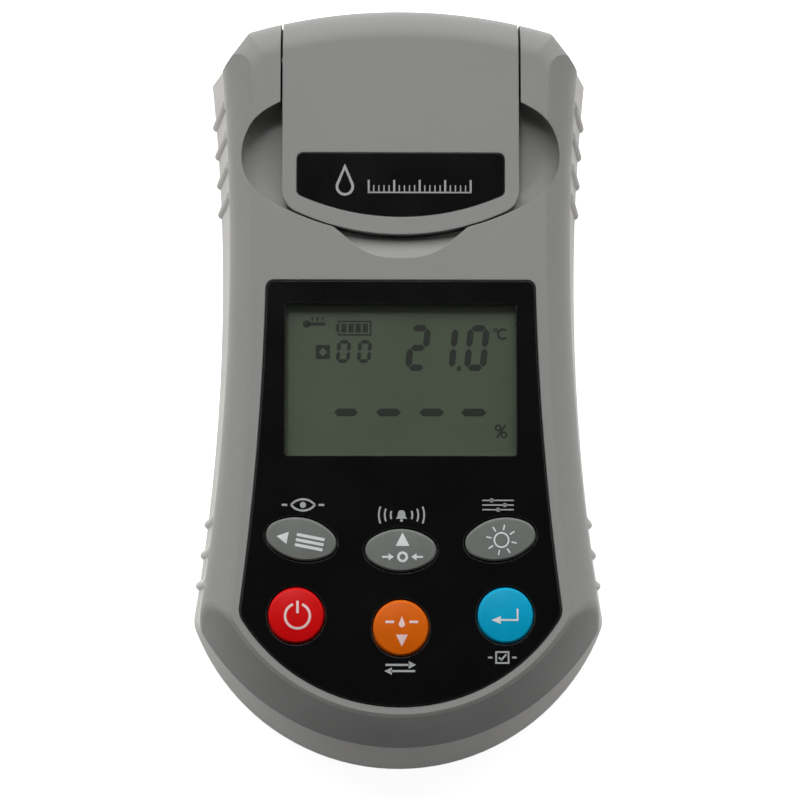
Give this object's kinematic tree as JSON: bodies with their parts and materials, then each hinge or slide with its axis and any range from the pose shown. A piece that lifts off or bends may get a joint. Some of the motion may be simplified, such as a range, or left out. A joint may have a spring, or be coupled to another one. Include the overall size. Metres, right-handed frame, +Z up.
{
  "type": "digital refractometer",
  "caption": "Hand-held digital refractometer: waisted two-part case, flip lid over a sample well, display window, push keys and sliding battery door.",
  "frame": {"origin": "on the resting surface under the middle of the case", "axes": "+X to the right seen from above with the keys towards the viewer, +Y towards the hinged lid, +Z up out of the face"},
  "size_m": [0.0886, 0.16, 0.0412],
  "materials": {
    "case_grey": "fine satin moulding",
    "base_grey": "fine spark texture",
    "black_gloss": "printed gloss panel",
    "black_plastic": "matte black",
    "clear_plastic": "clear",
    "display_glass": "grey-green display",
    "white_plastic": "matte white",
    "board_green": "solder resist",
    "steel": "brushed",
    "black_rubber": "matte rubber",
    "grey_rubber": "soft rubber",
    "optical_glass": "polished",
    "cell_wrap": "printed sleeve",
    "key_grey": "satin key",
    "key_red": "satin key",
    "key_orange": "satin key",
    "key_blue": "satin key"
  },
  "bodies": {
    "case": {"battery_cells": "cell_wrap", "battery_contacts": "steel", "battery_springs": "steel", "board_parts": "black_plastic", "board_screws": "steel", "buzzer": "black_plastic", "case_screws": "steel", "condenser_lens": "optical_glass", "display_window": "clear_plastic", "focusing_lens": "optical_glass", "front_panel": "black_gloss", "hinge_pin": "steel", "key_contacts": "steel", "keypad_mat": "grey_rubber", "lcd_backlight": "white_plastic", "lcd_glass": "display_glass", "lcd_holder": "black_plastic", "lcd_zebra_strips": "grey_rubber", "light_source": "clear_plastic", "linear_sensor": "black_plastic", "lower_housing": "base_grey", "main_board": "board_green", "optical_block": "black_plastic", "prism_seal": "black_rubber", "rubber_feet": "black_rubber", "sample_prism": "optical_glass", "sample_well": "steel", "sensor_board": "board_green", "upper_housing": "case_grey"},
    "lid": {"lid_cover": "case_grey", "lid_label_plate": "black_gloss", "lid_light_shield": "black_plastic", "lid_seal_ring": "black_rubber"},
    "battery_door": {"battery_door": "base_grey"},
    "read_key": {"read_key": "key_grey"},
    "zero_key": {"zero_key": "key_grey"},
    "light_key": {"light_key": "key_grey"},
    "power_key": {"power_key": "key_red"},
    "test_key": {"test_key": "key_orange"},
    "enter_key": {"enter_key": "key_blue"}
  },
  "joints": [
    {"name": "lid_hinge", "type": "hinge", "parent": "case", "child": "lid", "pos_m": [0, 0.06814, 0.032], "axis": [-1, 0, 0], "range_deg": [0, 100]},
    {"name": "battery_door_slide", "type": "slide", "parent": "case", "child": "battery_door", "axis": [0, -1, 0], "range_m": [0, 0.062]},
    {"name": "read_key_press", "type": "slide", "parent": "case", "child": "read_key", "axis": [0, 0, -1], "range_m": [0, 0.0008], "stiffness_N_per_m": 1000, "springref_m": -0.0007},
    {"name": "zero_key_press", "type": "slide", "parent": "case", "child": "zero_key", "axis": [0, 0, -1], "range_m": [0, 0.0008], "stiffness_N_per_m": 1000, "springref_m": -0.0007},
    {"name": "light_key_press", "type": "slide", "parent": "case", "child": "light_key", "axis": [0, 0, -1], "range_m": [0, 0.0008], "stiffness_N_per_m": 1000, "springref_m": -0.0007},
    {"name": "power_key_press", "type": "slide", "parent": "case", "child": "power_key", "axis": [0, 0, -1], "range_m": [0, 0.0008], "stiffness_N_per_m": 1000, "springref_m": -0.0007},
    {"name": "test_key_press", "type": "slide", "parent": "case", "child": "test_key", "axis": [0, 0, -1], "range_m": [0, 0.0008], "stiffness_N_per_m": 1000, "springref_m": -0.0007},
    {"name": "enter_key_press", "type": "slide", "parent": "case", "child": "enter_key", "axis": [0, 0, -1], "range_m": [0, 0.0008], "stiffness_N_per_m": 1000, "springref_m": -0.0007}
  ]
}
